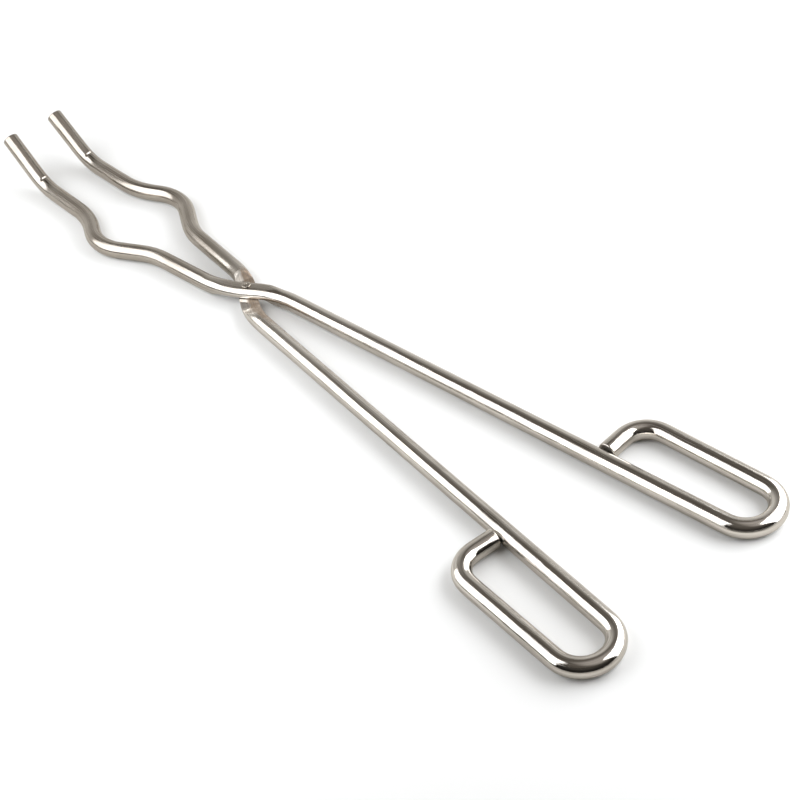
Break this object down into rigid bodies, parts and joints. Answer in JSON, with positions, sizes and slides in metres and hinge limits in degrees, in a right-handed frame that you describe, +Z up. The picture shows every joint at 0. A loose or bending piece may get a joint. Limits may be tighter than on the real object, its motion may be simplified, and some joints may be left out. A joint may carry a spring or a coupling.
{
  "type": "crucible tongs",
  "caption": "Long crucible tongs: two bent round steel rods crossing on a rivet, with bowed jaws, upturned tips and oblong finger loops.",
  "frame": {"origin": "under the middle of the tongs' box, on the surface they lie on; the pivot's axis is the line x = -0.0436, y = 0", "axes": "+X from the jaws towards the finger loops, +Y to the side of the upper arm's finger loop, +Z up, along the rivet; the tips bend up"},
  "size_m": [0.4466, 0.1196, 0.0253],
  "materials": {
    "upper_arm_nickel": "bright nickel plating on steel rod, greyer and more matte towards the jaws",
    "lower_arm_nickel": "bright nickel plating on steel rod, with brown heat and rust staining beside the pivot",
    "rivet_steel": "dull grey steel"
  },
  "bodies": {
    "lower": {"lower_arm": "lower_arm_nickel", "pivot_rivet": "rivet_steel"},
    "upper": {"upper_arm": "upper_arm_nickel"}
  },
  "joints": [
    {"name": "pivot_hinge", "type": "hinge", "parent": "lower", "child": "upper", "pos_m": [-0.04362, 0, 0.004], "axis": [0, 0, 1], "range_deg": [-6, 60]}
  ]
}
